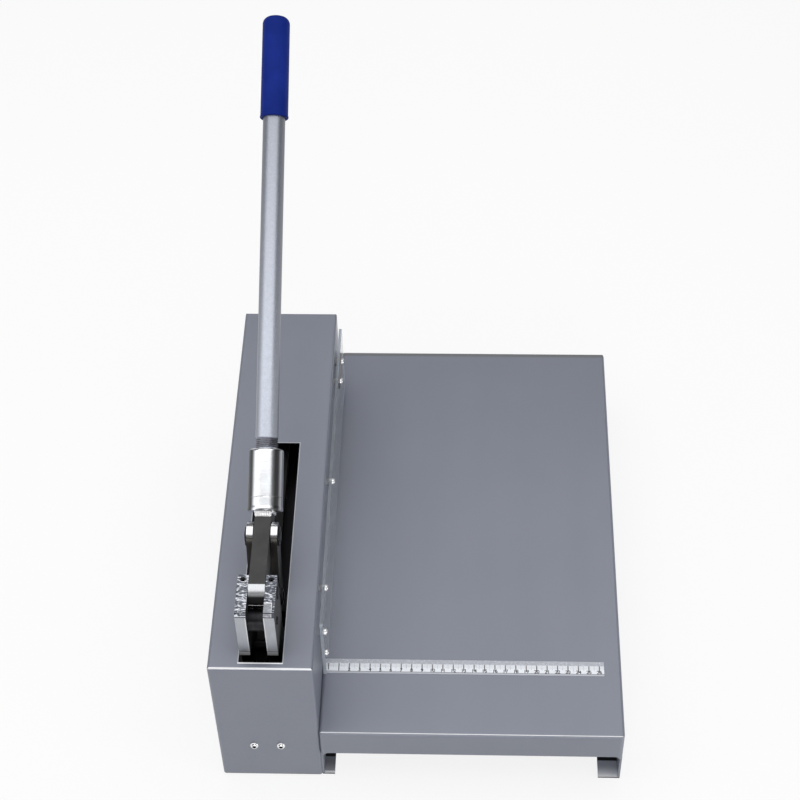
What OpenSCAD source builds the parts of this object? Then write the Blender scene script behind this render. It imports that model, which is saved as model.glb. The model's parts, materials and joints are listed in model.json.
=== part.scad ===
// Bench shear for thin sheet. A long hand lever swings between two ears, a pair of short links
// pushes a guided ram down, and its raked blade shears the sheet against a fixed lower blade.
// The floor is z = 0, the origin is below the middle of the cover, and the table lies towards +X.

/* [Cover] */
// Width of the cover, left to right
cover_w = 96; // [94:1:110]
// Length of the cover, front to back
cover_d = 443; // [440:1:460]
// Height of the cover's top above the floor
cover_h = 184; // [180:1:192]
// Thickness of the cover's sheet
cover_t = 1.5; // [1:0.1:2]
// Outer radius of the bends along the cover's top
cover_bend = 3; // [2.5:0.1:5]
// Outer radius of the cover's upright corners
cover_corner = 2.5; // [2.2:0.1:5]
// Gap between the cover's lower edge and the floor
cover_lift = 1.5; // [0.5:0.5:3]
// Width of the slot in the top of the cover
slot_w = 40; // [39.6:0.2:42]
// How far the middle of the slot lies to the right of the cover's middle
slot_shift = 0.1; // [0:0.1:0.4]
// Distance from the cover's front face to the slot
slot_setback = 7.5; // [5:0.5:12]
// Length of the slot
slot_len = 258; // [255:0.5:275]
// Height of the feed window in the right wall
window_h = 53; // [40:1:56]
// Height of the offcut window in the left wall
discharge_h = 66; // [40:1:75]
// Corner radius of both windows
window_r = 4; // [1:0.5:8]

/* [Frame] */
// Thickness of the base plate
base_t = 6; // [5:0.5:8]
// Thickness of each upright plate
upright_t = 9.8; // [9:0.1:9.9]
// Gap between the left and right uprights
upright_gap = 15.6; // [15:0.1:16]
// How far the lever and the ram lie to the right of the cover's middle
mech_x = -1.5; // [-1.8:0.1:0]
// Depth of the lower part of the front uprights
front_upright_d = 68.5; // [62:0.5:74]
// Distance from the cover's front face to the ears
ear_setback = 15; // [14:0.5:20]
// Depth of the ears, front to back
ear_d = 44.5; // [43.5:0.5:47]
// Height of the ears above the fulcrum
ear_over = 12; // [11:0.5:16]
// Chamfer along the front of the ears' tops
ear_chamfer = 3; // [1:0.5:6]
// How far the necks of the ears lie behind their fronts, below the cover's top
ear_step = 9; // [6:0.5:12]
// Depth of the bars that close the guide channels at the front
front_guide_d = 14; // [10:0.5:15]

/* [Lever] */
// Distance from the cover's front face to the fulcrum
fulcrum_setback = 48.5; // [46:0.5:49]
// Height of the fulcrum above the cover
fulcrum_above = 50.5; // [48:0.5:56]
// Diameter of the fulcrum pin and of the upper link pin
pin_d = 12; // [10:0.5:13]
// Distance from the fulcrum to the upper link pin
lever_r = 63.5; // [60:0.5:66]
// Thickness of the lever's arm
arm_t = 15; // [12:0.1:15]
// Height of the lever's arm
arm_h = 26.8; // [24:0.2:28]
// Distance from the cover's front face to the foot of the socket
socket_setback = 140; // [136:0.5:146]
// How far the foot of the socket lies below the fulcrum
socket_drop = 0; // [0:0.5:3]
// Slope of the handle at rest
handle_angle = 33; // [30:0.5:38]
// Diameter of the socket
socket_d = 33; // [30:0.5:34]
// Length of the socket
socket_len = 58; // [50:1:70]
// Diameter of the handle's threaded end
thread_d = 19.2; // [17:0.1:20]
// Length of thread inside the socket
thread_in = 40; // [25:1:45]
// Length of thread that shows above the socket
thread_out = 11; // [5:0.5:16]
// Outer diameter of the handle pipe
pipe_d = 21.3; // [20.5:0.1:24]
// Bore of the handle pipe
pipe_bore = 16; // [12:0.5:16.5]
// Length of bare pipe between the thread and the grip
pipe_len = 307; // [270:1:330]
// Diameter of the grip at its open end
grip_d = 27.2; // [26:0.2:30]
// Diameter of the grip at its closed end
grip_tip_d = 26.2; // [25.5:0.1:29]
// Length of the grip
grip_len = 100; // [80:1:120]
// Corner radius of the grip's closed end
grip_round = 7; // [4:0.5:10]
// Thickness of the grip's closed end
grip_cap = 5; // [3:0.5:8]

/* [Links and ram] */
// Distance between the pins of a link
link_len = 70; // [66:0.5:72]
// Thickness of a link
link_t = 6; // [4:0.1:6.4]
// Radius of the ends of a link
link_eye_r = 13; // [12:0.1:13.4]
// Distance from the cover's front face to the ram's pin
ram_pin_setback = 92; // [88:0.5:94]
// Diameter of the ram's pin
ram_pin_d = 10; // [8:0.5:11]
// Free play of the ram's pin across the link
play_across = 2.1; // [1.9:0.1:2.5]
// Free play of the ram's pin along the link
play_along = 0.8; // [0.7:0.1:1]
// Height of the ram's pin above the ram's top edge
lug_h = 13; // [11:0.5:16]
// Radius of the ram's lug
lug_r = 11.5; // [9:0.5:12]
// Height of the ram's lower edge above the table
ram_over = 35; // [34.9:0.1:38]
// Length of the ram's rear tongue
rear_tongue = 15.8; // [14:0.1:17]
// Diameter of the stop pins above the ram
stop_pin_d = 10; // [6:0.5:12]

/* [Blades and bed] */
// Length of the cut
cut_len = 300; // [280:1:302]
// Distance from the cover's front face to the start of the cut
cut_setback = 94; // [90:0.5:96]
// Thickness of the upper blade
upper_blade_t = 8.4; // [6:0.1:9]
// Thickness of the lower blade
lower_blade_t = 7.85; // [6:0.05:9]
// Gap between the two blades
blade_gap = 0.15; // [0.1:0.05:0.3]
// Height of the upper edge's front end above the table
mouth_front = 6; // [5:0.5:8]
// Rise of the upper edge from front to back
rake_rise = 20; // [10:1:24]
// Height of the upper blade's top above the table
blade_top = 60; // [56:0.5:64]
// Height of the lower blade
lower_blade_h = 34; // [28:0.5:40]
// Thickness of the bed's web
bed_web_t = 12; // [8:0.5:14]
// Thickness of the bed's top flange
bed_top_t = 16; // [12:0.5:20]
// Thickness of the bed's foot flange
bed_foot_t = 12; // [8:0.5:16]

/* [Return springs] */
// Diameter of a spring rod
rod_d = 7; // [5:0.1:7.2]
// Diameter of the holes that the spring rods run in
rod_hole_d = 8.4; // [8:0.1:9]
// Thickness of the spring wire
spring_wire = 1.8; // [1.2:0.1:2]
// Diameter of a spring at the middle of its wire
spring_d = 10.4; // [10:0.1:11]
// Turns of a spring
spring_turns = 13; // [8:1:16]

/* [Table] */
// Width of the table
table_w = 287; // [285:1:340]
// Depth of the table, front to back
table_d = 486; // [480:1:520]
// Height of the table's top above the floor
table_h = 80; // [78:0.5:84]
// How far the table reaches in front of the cover
table_lead = 2.5; // [0:0.5:6]
// Thickness of the table's sheet
table_t = 2; // [1.5:0.1:2.5]
// Outer radius of the bends along the table's top
table_bend = 3; // [2.6:0.1:5]
// Radius of the table's corners, seen from above
table_corner = 5; // [3:0.5:8]
// Depth of the front and back skirts
skirt_h = 34.5; // [25:0.5:45]
// Width of the short legs at the ends of the skirts, seen from the front
leg_w = 3.5; // [3:0.5:10]
// Radius where a skirt runs into a leg
leg_fillet = 4.5; // [2:0.5:8]
// Distance from the table's front edge to the feet of its walls
foot_setback = 4; // [3:0.5:12]
// Width of the flange under the left wall
left_flange_w = 12; // [8:0.5:16]
// Width of the flange under the right wall
right_flange_w = 21; // [12:0.5:30]

/* [Ruler and guard] */
// Length of the ruler
ruler_len = 266; // [200:1:274]
// Width of the ruler
ruler_w = 16; // [12:0.5:20]
// Thickness of the ruler
ruler_t = 0.6; // [0.5:0.1:1]
// Distance from the table's left edge to the ruler
ruler_inset = 4.2; // [4:0.1:8]
// Distance from the cover's front face to the ruler
ruler_setback = 65; // [40:0.5:68]
// Length of the clear guard
guard_len = 376; // [365:1:385]
// Height of the clear guard
guard_h = 84; // [80:0.5:88]
// Thickness of the clear guard
guard_t = 2.8; // [2:0.1:5]
// Gap between the cover and the guard
guard_standoff = 2.6; // [2:0.1:5]
// Height of the feed gap under the guard
feed_gap = 12; // [8:0.5:14]
// Distance from the cover's front face to the guard
guard_setback = 54; // [50:0.5:58]
// Corner radius of the guard
guard_corner = 4; // [2:0.5:6]

/* [Hidden] */
$fn = 48;
running_clear = 0.05;
hole_clear = 0.05;
slide_clear = 0.2;
stop_clear = 0.3;
seat_clear = 0.1;
side_clear = 0.7;
base_clear = 0.5;
blade_clear = 2;
pin_proud = 1.5;
pin_chamfer = 1;
clip_t = 1.2;
clip_w = 3;

front_y = -cover_d / 2;
back_y = cover_d / 2;
right_x = cover_w / 2;
in_x = right_x - cover_t;
in_front = front_y + cover_t;
in_back = back_y - cover_t;
slot_x = slot_shift - slot_w / 2;
slot_r = 1;
sill = 1;
discharge_z = base_t + 2;

channel_l = mech_x - upright_gap / 2;
channel_r = mech_x + upright_gap / 2;
frame_l = channel_l - upright_t;
frame_r = channel_r + upright_t;
upright_mid = (upright_gap + upright_t) / 2;
ear_front = front_y + ear_setback;
ear_back = ear_front + ear_d;
shoulder_drop = 22;
shoulder_slope = 12;
rear_drop = 7;
neck_rise = 0.5;
shoulder_z = cover_h - shoulder_drop;
shoulder_low_z = shoulder_z - shoulder_slope;
rear_top_z = cover_h - rear_drop;
neck_z = cover_h + neck_rise;
front_back_y = in_front + front_upright_d;

fulcrum = [front_y + fulcrum_setback, cover_h + fulcrum_above];
link_top = [fulcrum[0] + lever_r, fulcrum[1]];
ram_pin_y = front_y + ram_pin_setback;
ram_pin = [ram_pin_y, link_top[1] - sqrt(pow(link_len, 2) - pow(link_top[0] - ram_pin_y, 2))];
link_dir = atan2(ram_pin[1] - link_top[1], ram_pin[0] - link_top[0]);
link_in = arm_t / 2 + side_clear;
link_out = link_in + link_t;
ear_top = fulcrum[1] + ear_over;

ram_t = upright_gap - 2 * slide_clear;
ram_l = mech_x - ram_t / 2;
ram_r = mech_x + ram_t / 2;
ram_top = ram_pin[1] - lug_h;
ram_bottom = table_h + ram_over;
ram_front = in_front + base_clear + front_guide_d + slide_clear;
blade_y0 = front_y + cut_setback;
blade_y1 = blade_y0 + cut_len;
rear_upright_y = blade_y1 + blade_clear;
ram_back = rear_upright_y + rear_tongue;
shear_x = ram_r + upper_blade_t;
lower_x = shear_x + blade_gap;
bed_x0 = lower_x + lower_blade_t;
bed_x1 = in_x - base_clear;
bed_y0 = in_front + base_clear;
bed_y1 = in_back - base_clear;
stop_z = ram_top + stop_clear + stop_pin_d / 2;

front_rod_inset = 26;
rear_rod_inset = 6;
rear_stop_inset = 9;
front_rod_y = ram_front + front_rod_inset;
rear_rod_y = rear_upright_y + rear_rod_inset;
front_stop = [front_rod_y, stop_z];
rear_stop = [rear_upright_y + rear_stop_inset, stop_z];
rod_engage = 10;
rod_foot = 1;
spring_z0 = base_t + seat_clear;
spring_z1 = ram_bottom - seat_clear;

socket_foot = [front_y + socket_setback, fulcrum[1] - socket_drop];
handle_len = socket_len + thread_out + pipe_len + grip_len;
grip_start = handle_len - grip_len;

table_x0 = right_x;
table_x1 = table_x0 + table_w;
table_y0 = front_y - table_lead;
table_y1 = table_y0 + table_d;
skirt_z = table_h - skirt_h;
foot_h = skirt_z - leg_fillet;
foot_y0 = table_y0 + foot_setback;
foot_y1 = table_y1 - foot_setback;

guard_x0 = right_x + guard_standoff;
guard_x1 = guard_x0 + guard_t;
guard_y0 = front_y + guard_setback;
guard_z0 = table_h + feed_gap;

// Fasteners: shank diameter, head diameter and head height of each kind
m6 = 6;
m6_head_d = 10;
m6_head_h = 4;
m6_flat_d = 11.5;
m6_flat_h = 3;
m5 = 5;
m5_head_d = 8.6;
m5_head_h = 3;
m4 = 4;
m4_head_d = 7;
m4_head_h = 2.4;
flat_sink = 0.4;
cap_key = 0.8;
flat_key = 0.6;
grub_key = 0.5;

// Where the fasteners sit
cover_screw_z = 55;
cover_screw_in = 14;
guide_screw_z = [40, 130];
guide_screw_y = [bed_y0 + front_guide_d / 2, (ram_back + slide_clear + in_back) / 2];
tie_inset = 13;
tie_drop = 13.5;
tie_pos = [ear_front + tie_inset, fulcrum[1] - tie_drop];
tie_d = 8;
lock_back = 6;
lock_seat = sqrt(pow(pin_d / 2, 2) - pow(lock_back - m5 / 2, 2)) + hole_clear;
tie_spacer_d = 19.5;
blade_screws = 5;
blade_screw_inset = 20;
blade_pitch = (cut_len - 2 * blade_screw_inset) / (blade_screws - 1);
blade_screw_ys = [for (i = [0:blade_screws - 1]) blade_y0 + blade_screw_inset + i * blade_pitch];
upper_screw_drop = 12;
upper_screw_z = table_h + blade_top - upper_screw_drop;
lower_screw_z = table_h - lower_blade_h / 2;
table_screws_n = 4;
table_screw_pitch = cut_len / table_screws_n;
table_screw_ys = [for (i = [0:table_screws_n - 1]) blade_y0 + (i + 0.5) * table_screw_pitch];
table_screw_z = table_h - bed_top_t / 2 - 1;
table_screw_in = 10;
guard_top_row = [48, 175.5];
guard_strap_row = [307.5, 334.5];
guard_top_drop = 8;
guard_front_pair = [[15.5, 51], [12, 21.5]];
guard_row_z = guard_h - guard_top_drop;
guard_plain_yz = concat([for (y = guard_top_row) [y, guard_row_z]], guard_front_pair);
guard_strap_yz = [for (y = guard_strap_row) [y, guard_row_z]];
strap_t = 1.5;
strap_w = 10;
strap_over = 6;
guard_spacer_d = 8;
guard_screw_in = 2;
front_foot_ys = [20, 58];
bed_foot_inset = 24;
base_screws_xy = concat(
  [for (s = [-1, 1]) for (y = front_foot_ys) [mech_x + s * upright_mid, front_y + y]],
  [for (s = [-1, 1]) [mech_x + s * upright_mid, (rear_upright_y + in_back) / 2]],
  [for (y = [bed_y0 + bed_foot_inset, 0, bed_y1 - bed_foot_inset]) [(bed_x0 + bed_x1) / 2, y]]
);
base_screw_in = 9;

// Extrudes a front-to-back profile (y, z) sideways from x0 to x1
module plate_x(x0, x1) {
  translate([x0, 0, 0])
    rotate([90, 0, 90])
      linear_extrude(x1 - x0) children();
}

// Extrudes a left-to-right profile (x, z) from y0 to y1
module profile_y(y0, y1) {
  translate([0, y1, 0])
    rotate([90, 0, 0])
      linear_extrude(y1 - y0) children();
}

// A round bar along X, centred on [y, z]
module bar_x(d, x0, x1, at) {
  translate([x0, at[0], at[1]])
    rotate([0, 90, 0])
      cylinder(d = d, h = x1 - x0);
}

// A pin along X with chamfered ends
module pin_x(d, x0, x1, at) {
  translate([x0, at[0], at[1]])
    rotate([0, 90, 0])
      rotate_extrude()
        polygon([
          [0, 0], [d / 2 - pin_chamfer, 0], [d / 2, pin_chamfer],
          [d / 2, x1 - x0 - pin_chamfer], [d / 2 - pin_chamfer, x1 - x0], [0, x1 - x0]
        ]);
}

// A box between two corners
module block(low, high) {
  translate(low)
    cube(high - low);
}

// A flat rectangle with rounded corners between two points
module round_rect(low, high, r) {
  translate([low[0] + r, low[1]])
    square([high[0] - low[0] - 2 * r, high[1] - low[1]]);
  translate([low[0], low[1] + r])
    square([high[0] - low[0], high[1] - low[1] - 2 * r]);
  for (x = [low[0] + r, high[0] - r])
    for (y = [low[1] + r, high[1] - r])
      translate([x, y])
        circle(r);
}

// A solid box with rounded upright corners and rounded upper edges
module bent_box(low, high, corner, bend) {
  intersection() {
    translate([0, 0, low[2]])
      linear_extrude(high[2] - low[2])
        round_rect([low[0], low[1]], [high[0], high[1]], corner);
    profile_y(low[1] - 1, high[1] + 1)
      round_rect([low[0], low[2] - 2 * bend], [high[0], high[2]], bend);
    plate_x(low[0] - 1, high[0] + 1)
      round_rect([low[1], low[2] - 2 * bend], [high[1], high[2]], bend);
  }
}

// A cap screw along Z: the head stands on z = 0 and the shank goes down
module cap_screw(d, head_d, head_h, len) {
  translate([0, 0, -len])
    cylinder(d = d, h = len + head_h / 2);
  difference() {
    cylinder(d = head_d, h = head_h);
    translate([0, 0, head_h / 2])
      cylinder(d = d * cap_key, h = head_h, $fn = 6);
  }
}

// A countersunk screw along Z: the flat of the head is z = 0 and the shank goes down
module flat_screw(d, head_d, head_h, len) {
  difference() {
    union() {
      translate([0, 0, -len])
        cylinder(d = d, h = len - head_h + 0.5);
      translate([0, 0, -head_h])
        cylinder(d1 = d, d2 = head_d, h = head_h);
    }
    translate([0, 0, -head_h / 2])
      cylinder(d = d * flat_key, h = head_h, $fn = 6);
  }
}

// The hole that a countersunk screw goes through, with its mouth at z = 0
module flat_hole(d, head_d, head_h, depth) {
  translate([0, 0, -depth])
    cylinder(d = d + 2 * hole_clear, h = depth + 1);
  translate([0, 0, -flat_sink - head_h - hole_clear])
    cylinder(d1 = d + 2 * hole_clear, d2 = head_d + 4 * hole_clear, h = head_h);
  translate([0, 0, -flat_sink - hole_clear])
    cylinder(d = head_d + 4 * hole_clear, h = flat_sink + 1);
}

// Turns a screw so that its head faces a side of the machine
module facing_left() {
  rotate([0, -90, 0]) children();
}

module facing_right() {
  rotate([0, 90, 0]) children();
}

module facing_front() {
  rotate([90, 0, 0]) children();
}

module facing_back() {
  rotate([-90, 0, 0]) children();
}

module facing_down() {
  rotate([180, 0, 0]) children();
}

// Places children at each screw under the base plate
module at_base_screws() {
  for (p = base_screws_xy)
    translate([p[0], p[1], 0])
      facing_down() children();
}

// Places children at each screw that holds the cover to the uprights
module at_cover_screws() {
  for (s = [-1, 1]) {
    translate([mech_x + s * upright_mid, front_y, cover_screw_z])
      facing_front() children();
    translate([mech_x + s * upright_mid, back_y, cover_screw_z])
      facing_back() children();
  }
}

// Places children at each cross screw through the uprights and the guide bars
module at_guide_screws() {
  for (y = guide_screw_y)
    for (z = guide_screw_z)
      translate([frame_l, y, z])
        facing_left() children();
}

// Places children at the given screws of the guard, on the guard's outer face
module at_guard(screws) {
  for (p = screws)
    translate([guard_x1, guard_y0 + p[0], guard_z0 + p[1]])
      facing_right() children();
}

// Places children at each screw of the guard, on the guard's outer face
module at_guard_screws() {
  at_guard(concat(guard_plain_yz, guard_strap_yz)) children();
}

// Places children at each screw through the table's left wall, on its inner face
module at_table_screws() {
  for (y = table_screw_ys)
    translate([table_x0 + table_t, y, table_screw_z])
      facing_right() children();
}

module base_plate() {
  color("dimgray")
    difference() {
      block([-in_x + base_clear, bed_y0, 0], [in_x - base_clear, bed_y1, base_t]);
      at_base_screws()
        flat_hole(m6, m6_flat_d, m6_flat_h, base_t + 1);
      for (y = [front_rod_y, rear_rod_y])
        translate([mech_x, y, -1])
          cylinder(d = rod_d + 2 * hole_clear, h = base_t + 2);
    }
}

module base_screws() {
  color("silver")
    at_base_screws()
      translate([0, 0, -flat_sink])
        flat_screw(m6, m6_flat_d, m6_flat_h, base_t + base_screw_in);
}

// The tapped holes for the screws that come up through the base plate
module base_tappings() {
  at_base_screws()
    translate([0, 0, -base_t - base_screw_in - 2])
      cylinder(d = m6 + 2 * hole_clear, h = base_t + base_screw_in + 3);
}

// The tapped holes for the screws that hold the cover to the uprights
module cover_tappings() {
  at_cover_screws()
    translate([0, 0, -cover_t - cover_screw_in - 2])
      cylinder(d = m5 + 2 * hole_clear, h = cover_t + cover_screw_in + 3);
}

// Side view of a front upright: a deep foot inside the cover, a narrower neck and an ear above it
module front_upright_profile() {
  polygon([
    [in_front, base_t], [front_back_y, base_t], [front_back_y, shoulder_low_z],
    [ear_back, shoulder_z], [ear_back, ear_top], [ear_front + ear_chamfer, ear_top],
    [ear_front, ear_top - ear_chamfer], [ear_front, neck_z], [ear_front + ear_step, neck_z],
    [ear_front + ear_step, shoulder_z], [in_front, shoulder_low_z]
  ]);
}

module front_upright(x0) {
  difference() {
    plate_x(x0, x0 + upright_t)
      front_upright_profile();
    bar_x(pin_d + 2 * hole_clear, x0 - 1, x0 + upright_t + 1, fulcrum);
    bar_x(tie_d + 2 * hole_clear, x0 - 1, x0 + upright_t + 1, tie_pos);
    bar_x(stop_pin_d + 2 * hole_clear, x0 - 1, x0 + upright_t + 1, front_stop);
    for (z = guide_screw_z)
      bar_x(m6 + 2 * hole_clear, x0 - 1, x0 + upright_t + 1, [guide_screw_y[0], z]);
    translate([x0 + upright_t / 2, fulcrum[0] + lock_back, fulcrum[1] + lock_seat - 1])
      cylinder(d = m5 + 2 * hole_clear, h = ear_over);
    cover_tappings();
    base_tappings();
  }
}

module left_front_upright() {
  color("lightgray") front_upright(frame_l);
}

module right_front_upright() {
  color("lightgray") front_upright(channel_r);
}

module rear_upright(x0) {
  difference() {
    block([x0, rear_upright_y, base_t], [x0 + upright_t, in_back, rear_top_z]);
    bar_x(stop_pin_d + 2 * hole_clear, x0 - 1, x0 + upright_t + 1, rear_stop);
    for (z = guide_screw_z)
      bar_x(m6 + 2 * hole_clear, x0 - 1, x0 + upright_t + 1, [guide_screw_y[1], z]);
    cover_tappings();
    base_tappings();
  }
}

module left_rear_upright() {
  color("lightgray") rear_upright(frame_l);
}

module right_rear_upright() {
  color("lightgray") rear_upright(channel_r);
}

// The bar that closes a guide channel, drilled for its two cross screws
module guide_bar(y0, y1, screw_y) {
  difference() {
    block([channel_l, y0, base_t], [channel_r, y1, shoulder_low_z]);
    for (z = guide_screw_z)
      bar_x(m6 + 2 * hole_clear, channel_l - 1, channel_r + 1, [screw_y, z]);
  }
}

module front_guide_bar() {
  color("gray") guide_bar(bed_y0, ram_front - slide_clear, guide_screw_y[0]);
}

module rear_guide_bar() {
  color("gray") guide_bar(ram_back + slide_clear, in_back, guide_screw_y[1]);
}

module guide_bar_screws() {
  color("silver")
    at_guide_screws()
      cap_screw(m6, m6_head_d, m6_head_h, frame_r - frame_l);
}

module tie_spacer() {
  color("gray")
    difference() {
      bar_x(tie_spacer_d, channel_l, channel_r, tie_pos);
      bar_x(tie_d + 2 * hole_clear, channel_l - 1, channel_r + 1, tie_pos);
    }
}

module tie_pin() {
  color("silver") pin_x(tie_d, frame_l - pin_proud, frame_r + pin_proud, tie_pos);
}

module stop_pins() {
  color("silver") {
    pin_x(stop_pin_d, frame_l, frame_r, front_stop);
    pin_x(stop_pin_d, frame_l, frame_r, rear_stop);
  }
}

// End view of the bed: a channel that lies on its back, open towards the table
module bed_profile() {
  difference() {
    translate([bed_x0, base_t])
      square([bed_x1 - bed_x0, table_h - base_t]);
    translate([bed_x0 + bed_web_t, base_t + bed_foot_t])
      square([bed_x1 - bed_x0, table_h - bed_top_t - base_t - bed_foot_t]);
  }
}

module bed_beam() {
  color("dimgray")
    difference() {
      profile_y(bed_y0, bed_y1)
        bed_profile();
      for (y = blade_screw_ys)
        bar_x(m6 + 2 * hole_clear, bed_x0 - 1, bed_x0 + bed_web_t + 1, [y, lower_screw_z]);
      for (y = table_screw_ys)
        bar_x(m5 + 2 * hole_clear, bed_x1 - table_screw_in - 2, bed_x1 + 1, [y, table_screw_z]);
      base_tappings();
    }
}

module lower_blade() {
  color("silver")
    difference() {
      block([lower_x, blade_y0, table_h - lower_blade_h], [bed_x0, blade_y1, table_h]);
      for (y = blade_screw_ys)
        translate([lower_x, y, lower_screw_z])
          facing_left()
            flat_hole(m6, m6_flat_d, m6_flat_h, lower_blade_t + 1);
    }
}

module lower_blade_screws() {
  color("dimgray")
    for (y = blade_screw_ys)
      translate([lower_x + flat_sink, y, lower_screw_z])
        facing_left()
          flat_screw(m6, m6_flat_d, m6_flat_h, lower_blade_t + bed_web_t - flat_sink);
}

// The folded sheet of the cover before its slot, windows and screw holes are cut
module cover_shell() {
  difference() {
    bent_box([-right_x, front_y, cover_lift], [right_x, back_y, cover_h], cover_corner, cover_bend);
    bent_box([-in_x, in_front, cover_lift - 1], [in_x, in_back, cover_h - cover_t],
      cover_corner - cover_t, cover_bend - cover_t);
  }
}

module cover() {
  color("darkgray")
    difference() {
      cover_shell();
      translate([0, 0, cover_h - cover_t - 1])
        linear_extrude(cover_t + 2)
          round_rect([slot_x, front_y + slot_setback],
            [slot_x + slot_w, front_y + slot_setback + slot_len], slot_r);
      plate_x(in_x - 1, right_x + 1)
        round_rect([blade_y0, table_h - sill], [blade_y1, table_h - sill + window_h], window_r);
      plate_x(-right_x - 1, -in_x + 1)
        round_rect([blade_y0, discharge_z], [blade_y1, discharge_z + discharge_h], window_r);
      at_cover_screws()
        translate([0, 0, -cover_t - 1])
          cylinder(d = m5 + 2 * hole_clear, h = cover_t + 2);
      at_guard_screws()
        translate([0, 0, -guard_t - guard_standoff - cover_t - 1])
          cylinder(d = m4 + 2 * hole_clear, h = cover_t + 2);
      at_table_screws()
        translate([0, 0, -table_t - cover_t - 1])
          cylinder(d = m5 + 2 * hole_clear, h = cover_t + 2);
    }
}

module cover_screws() {
  color("silver")
    at_cover_screws()
      cap_screw(m5, m5_head_d, m5_head_h, cover_t + cover_screw_in);
}

// The folded tray of the table, open below, with its skirts cut away between the ends
module table_shell() {
  difference() {
    bent_box([table_x0, table_y0, foot_h], [table_x1, table_y1, table_h], table_corner, table_bend);
    bent_box([table_x0 + table_t, table_y0 + table_t, foot_h - 1],
      [table_x1 - table_t, table_y1 - table_t, table_h - table_t],
      table_corner - table_t, table_bend - table_t);
    for (y = [table_y0, table_y1])
      profile_y(y - table_bend, y + table_bend)
        round_rect([table_x0 + leg_w, -2 * leg_fillet], [table_x1 - leg_w, skirt_z], leg_fillet);
  }
}

module table() {
  color("darkgray")
    difference() {
      table_shell();
      at_table_screws()
        translate([0, 0, -table_t - 1])
          cylinder(d = m5 + 2 * hole_clear, h = table_t + 2);
    }
}

// A foot of the table, an angle welded edge to edge under a wall
module left_table_foot() {
  color("darkgray") {
    block([table_x0, foot_y0, 0], [table_x0 + table_t, foot_y1, foot_h]);
    block([table_x0 + table_t / 2, foot_y0, 0], [table_x0 + left_flange_w, foot_y1, table_t]);
  }
}

// A foot of the table, an angle with a wider flange than the left one
module right_table_foot() {
  color("darkgray") {
    block([table_x1 - table_t, foot_y0, 0], [table_x1, foot_y1, foot_h]);
    block([table_x1 - right_flange_w, foot_y0, 0], [table_x1 - table_t / 2, foot_y1, table_t]);
  }
}

module table_screws() {
  color("silver")
    at_table_screws()
      cap_screw(m5, m5_head_d, m5_head_h, table_t + cover_t + base_clear + table_screw_in);
}

ruler_x0 = table_x0 + ruler_inset;
ruler_y0 = front_y + ruler_setback;
rivet_d = 3;
rivet_head_d = 5;
rivet_head_h = 0.6;
rivet_inset = 4;

// Places children at the two rivets of the ruler, on top of the ruler
module at_rivets() {
  for (x = [ruler_x0 + rivet_inset, ruler_x0 + ruler_len - rivet_inset])
    translate([x, ruler_y0 + ruler_w / 2, table_h + ruler_t]) children();
}

module ruler() {
  color("white")
    difference() {
      block([ruler_x0, ruler_y0, table_h], [ruler_x0 + ruler_len, ruler_y0 + ruler_w, table_h + ruler_t]);
      at_rivets()
        translate([0, 0, -ruler_t - 1])
          cylinder(d = rivet_d + 2 * hole_clear, h = ruler_t + 2);
    }
}

module ruler_rivets() {
  color("silver")
    at_rivets() {
      cylinder(d = rivet_head_d, h = rivet_head_h);
      translate([0, 0, -ruler_t])
        cylinder(d = rivet_d, h = ruler_t + rivet_head_h / 2);
    }
}

module guard() {
  color([0.8, 0.85, 0.9, 0.4])
    difference() {
      plate_x(guard_x0, guard_x1)
        round_rect([guard_y0, guard_z0], [guard_y0 + guard_len, guard_z0 + guard_h], guard_corner);
      at_guard_screws()
        translate([0, 0, -guard_t - 1])
          cylinder(d = m4 + 2 * hole_clear, h = guard_t + 2);
    }
}

module guard_spacers() {
  color("silver")
    at_guard_screws()
      translate([0, 0, -guard_t - guard_standoff])
        difference() {
          cylinder(d = guard_spacer_d, h = guard_standoff);
          translate([0, 0, -1])
            cylinder(d = m4 + 2 * hole_clear, h = guard_standoff + 2);
        }
}

module guard_screws() {
  grip = guard_t + guard_standoff + cover_t + guard_screw_in;
  color("silver") {
    at_guard(guard_plain_yz)
      cap_screw(m4, m4_head_d, m4_head_h, grip);
    at_guard(guard_strap_yz)
      translate([0, 0, strap_t])
        cap_screw(m4, m4_head_d, m4_head_h, strap_t + grip);
  }
}

// A small strap under the heads of the guard's two rear screws
module guard_strap() {
  ends = guard_strap_row;
  low = guard_z0 + guard_row_z - strap_w / 2;
  color("gainsboro")
    difference() {
      plate_x(guard_x1, guard_x1 + strap_t)
        round_rect([guard_y0 + ends[0] - strap_over, low],
          [guard_y0 + ends[len(ends) - 1] + strap_over, low + strap_w], 1);
      at_guard(guard_strap_yz)
        translate([0, 0, -1])
          cylinder(d = m4 + 2 * hole_clear, h = strap_t + 2);
    }
}

module fulcrum_pin() {
  color("silver") pin_x(pin_d, frame_l - pin_proud, frame_r + pin_proud, fulcrum);
}

// Grub screws in the tops of the ears that bear on the back of the fulcrum pin
module pin_lock_screws() {
  sunk = 1.5;
  grub_len = ear_over - lock_seat - sunk;
  color("dimgray")
    for (s = [-1, 1])
      translate([mech_x + s * upright_mid, fulcrum[0] + lock_back, fulcrum[1] + lock_seat])
        difference() {
          cylinder(d = m5, h = grub_len);
          translate([0, 0, grub_len / 2])
            cylinder(d = m5 * grub_key, h = grub_len, $fn = 6);
        }
}

module spring_rod(y) {
  rod_len = ram_bottom + rod_engage - rod_foot;
  translate([mech_x, y, rod_foot])
    rotate_extrude()
      polygon([
        [0, 0], [rod_d / 2, 0], [rod_d / 2, rod_len - pin_chamfer],
        [rod_d / 2 - pin_chamfer, rod_len], [0, rod_len]
      ]);
}

module front_spring_rod() {
  color("silver") spring_rod(front_rod_y);
}

module rear_spring_rod() {
  color("silver") spring_rod(rear_rod_y);
}

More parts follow.
